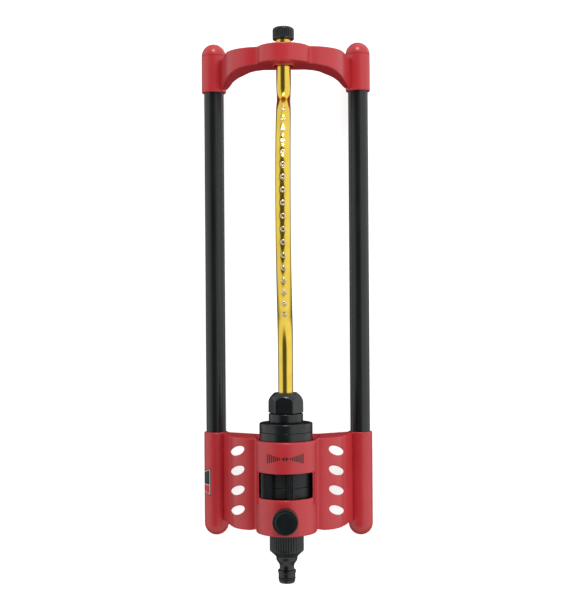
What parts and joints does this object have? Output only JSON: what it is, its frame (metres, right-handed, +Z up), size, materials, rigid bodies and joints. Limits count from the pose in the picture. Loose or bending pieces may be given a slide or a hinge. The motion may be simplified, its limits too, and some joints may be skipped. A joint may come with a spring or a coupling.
{
  "type": "oscillating lawn sprinkler",
  "caption": "Low lawn sprinkler on two tube legs: a bowed nozzle tube swings between an end arch and a geared water motor with range rings, flow knob and hose nipple.",
  "frame": {"origin": "on the ground, under the middle of the sprinkler's whole length and width", "axes": "+X across the feet, +Y along the spray tube towards its end plug, +Z up from the ground; the nozzles spray along +Z at rest"},
  "size_m": [0.168, 0.5236, 0.1264],
  "materials": {
    "red_plastic": "moulded ABS, satin gloss",
    "black_plastic": "moulded, satin gloss",
    "black_tube": "drawn tube, satin black powder coat",
    "gold_aluminium": "drawn tube, bright gold anodised",
    "nozzle_metal": "pressed, bright",
    "white_acetal": "moulded, natural",
    "steel": "zinc-plated",
    "black_rubber": "matt"
  },
  "bodies": {
    "frame": {"front_housing": "red_plastic", "end_arch": "red_plastic", "left_frame_tube": "black_tube", "right_frame_tube": "black_tube", "end_bearing_bush": "white_acetal", "frame_screw_1": "steel", "frame_screw_2": "steel", "frame_screw_3": "steel", "frame_screw_4": "steel", "motor_cap": "black_plastic", "motor_case": "black_plastic", "output_seal": "black_rubber", "gear_plate": "white_acetal", "valve_body": "black_plastic", "central_shaft": "steel", "layshaft": "steel", "trip_pin": "steel", "spindle_seal": "black_rubber", "hose_connector": "black_plastic", "connector_o_ring": "black_rubber", "inlet_washer": "black_rubber", "inlet_filter": "white_acetal"},
    "spray_arm": {"output_hub": "black_plastic", "gland_nut": "black_plastic", "gland_seal": "black_rubber", "spray_tube": "gold_aluminium", "nozzle_01": "nozzle_metal", "nozzle_02": "nozzle_metal", "nozzle_03": "nozzle_metal", "nozzle_04": "nozzle_metal", "nozzle_05": "nozzle_metal", "nozzle_06": "nozzle_metal", "nozzle_07": "nozzle_metal", "nozzle_08": "nozzle_metal", "nozzle_09": "nozzle_metal", "nozzle_10": "nozzle_metal", "nozzle_11": "nozzle_metal", "nozzle_12": "nozzle_metal", "nozzle_13": "nozzle_metal", "nozzle_14": "nozzle_metal", "nozzle_15": "nozzle_metal", "nozzle_16": "nozzle_metal", "nozzle_17": "nozzle_metal", "nozzle_18": "nozzle_metal"},
    "plug": {"end_plug": "black_plastic", "end_plug_seal": "black_rubber", "cleaning_pin": "steel"},
    "turbine": {"turbine_wheel": "white_acetal"},
    "first_gear": {"gear_1": "white_acetal"},
    "second_gear": {"gear_2": "white_acetal"},
    "third_gear": {"gear_3": "white_acetal"},
    "trip": {"trip_lever": "white_acetal"},
    "upper_ring": {"upper_range_ring": "black_plastic"},
    "lower_ring": {"lower_range_ring": "black_plastic"},
    "valve": {"flow_knob": "black_plastic", "valve_spindle": "white_acetal"}
  },
  "joints": [
    {"name": "spray_sweep", "type": "hinge", "parent": "frame", "child": "spray_arm", "pos_m": [0, 0, 0.0774], "axis": [0, 1, 0], "range_deg": [-45, 45]},
    {"name": "plug_withdraw", "type": "slide", "parent": "spray_arm", "child": "plug", "axis": [0, 1, 0], "range_m": [0, 0.046]},
    {"name": "third_gear_spin", "type": "hinge", "parent": "frame", "child": "third_gear", "pos_m": [0, -0.14, 0.0654], "axis": [0, 1, 0], "range_deg": [-135, 135]},
    {"name": "second_gear_spin", "type": "hinge", "parent": "frame", "child": "second_gear", "pos_m": [0, -0.145, 0.0774], "axis": [0, 1, 0], "range_deg": [-405, 405]},
    {"name": "first_gear_spin", "type": "hinge", "parent": "frame", "child": "first_gear", "pos_m": [0, -0.15, 0.0654], "axis": [0, 1, 0], "range_deg": [-1215, 1215]},
    {"name": "turbine_spin", "type": "hinge", "parent": "frame", "child": "turbine", "pos_m": [0, -0.168, 0.0774], "axis": [0, 1, 0], "range_deg": [-3645, 3645]},
    {"name": "trip_rock", "type": "hinge", "parent": "frame", "child": "trip", "pos_m": [0, -0.129, 0.0924], "axis": [0, 1, 0], "range_deg": [-12, 12]},
    {"name": "upper_ring_turn", "type": "hinge", "parent": "frame", "child": "upper_ring", "pos_m": [0, -0.1617, 0.0774], "axis": [0, 1, 0], "range_deg": [-2, 15]},
    {"name": "lower_ring_turn", "type": "hinge", "parent": "frame", "child": "lower_ring", "pos_m": [0, -0.1735, 0.0774], "axis": [0, 1, 0], "range_deg": [-12, 34]},
    {"name": "flow_knob_turn", "type": "hinge", "parent": "frame", "child": "valve", "pos_m": [0, -0.19805, 0.1133], "axis": [0, 0, 1], "range_deg": [0, 90]}
  ],
  "couplings": [
    {"joint": "third_gear_spin", "follows": "spray_sweep", "ratio": -3},
    {"joint": "second_gear_spin", "follows": "spray_sweep", "ratio": 9},
    {"joint": "first_gear_spin", "follows": "spray_sweep", "ratio": -27},
    {"joint": "turbine_spin", "follows": "spray_sweep", "ratio": 81}
  ]
}
